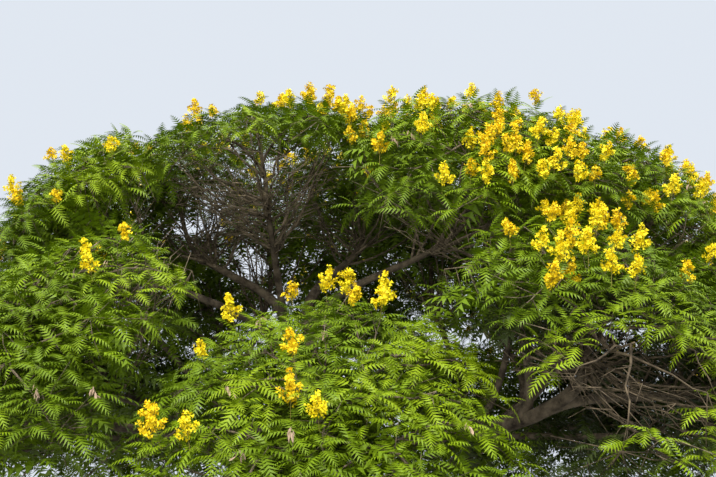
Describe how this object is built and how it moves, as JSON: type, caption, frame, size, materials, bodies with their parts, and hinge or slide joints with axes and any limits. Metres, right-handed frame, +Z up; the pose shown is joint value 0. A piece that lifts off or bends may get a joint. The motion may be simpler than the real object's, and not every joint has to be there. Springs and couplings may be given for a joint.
{
  "type": "yellow poinciana tree",
  "caption": "Broad domed flowering tree with a short flared trunk, spreading limbs, umbrella-like masses of leaf sprays and upright yellow blossom.",
  "frame": {"origin": "centre of the flat cut under the trunk, at ground level", "axes": "+Z up, -Y towards the side that the picture shows, +X to that view's right"},
  "size_m": [16.9993, 14.4862, 9.607],
  "materials": {
    "bark": "rough grey-brown bark",
    "foliage": "matte green leaves"
  },
  "bodies": {
    "root": {"apex_1_bough": "bark", "apex_1_foliage": "foliage", "back_left_limb": "bark", "back_right_limb": "bark", "front_left_limb": "bark", "front_right_limb": "bark", "inner_1_bough": "bark", "inner_1_foliage": "foliage", "inner_2_bough": "bark", "inner_2_foliage": "foliage", "inner_3_bough": "bark", "inner_3_foliage": "foliage", "inner_4_bough": "bark", "inner_4_foliage": "foliage", "inner_5_bough": "bark", "inner_5_foliage": "foliage", "inner_6_bough": "bark", "inner_6_foliage": "foliage", "left_leader": "bark", "right_leader": "bark", "skirt_10_bough": "bark", "skirt_10_foliage": "foliage", "skirt_11_bough": "bark", "skirt_11_foliage": "foliage", "skirt_1_bough": "bark", "skirt_1_foliage": "foliage", "skirt_2_bough": "bark", "skirt_2_foliage": "foliage", "skirt_3_bough": "bark", "skirt_3_foliage": "foliage", "skirt_4_bough": "bark", "skirt_4_foliage": "foliage", "skirt_5_bough": "bark", "skirt_5_foliage": "foliage", "skirt_6_bough": "bark", "skirt_6_foliage": "foliage", "skirt_7_bough": "bark", "skirt_7_foliage": "foliage", "skirt_8_bough": "bark", "skirt_8_foliage": "foliage", "skirt_9_bough": "bark", "skirt_9_foliage": "foliage", "trunk": "bark", "upper_1_bough": "bark", "upper_1_foliage": "foliage", "upper_3_bough": "bark", "upper_3_foliage": "foliage", "upper_4_bough": "bark", "upper_4_foliage": "foliage", "upper_5_bough": "bark", "upper_5_foliage": "foliage", "upper_6_bough": "bark", "upper_6_foliage": "foliage", "upper_7_bough": "bark", "upper_7_foliage": "foliage", "upper_8_bough": "bark", "upper_8_foliage": "foliage", "upper_9_bough": "bark", "upper_9_foliage": "foliage"}
  },
  "joints": []
}
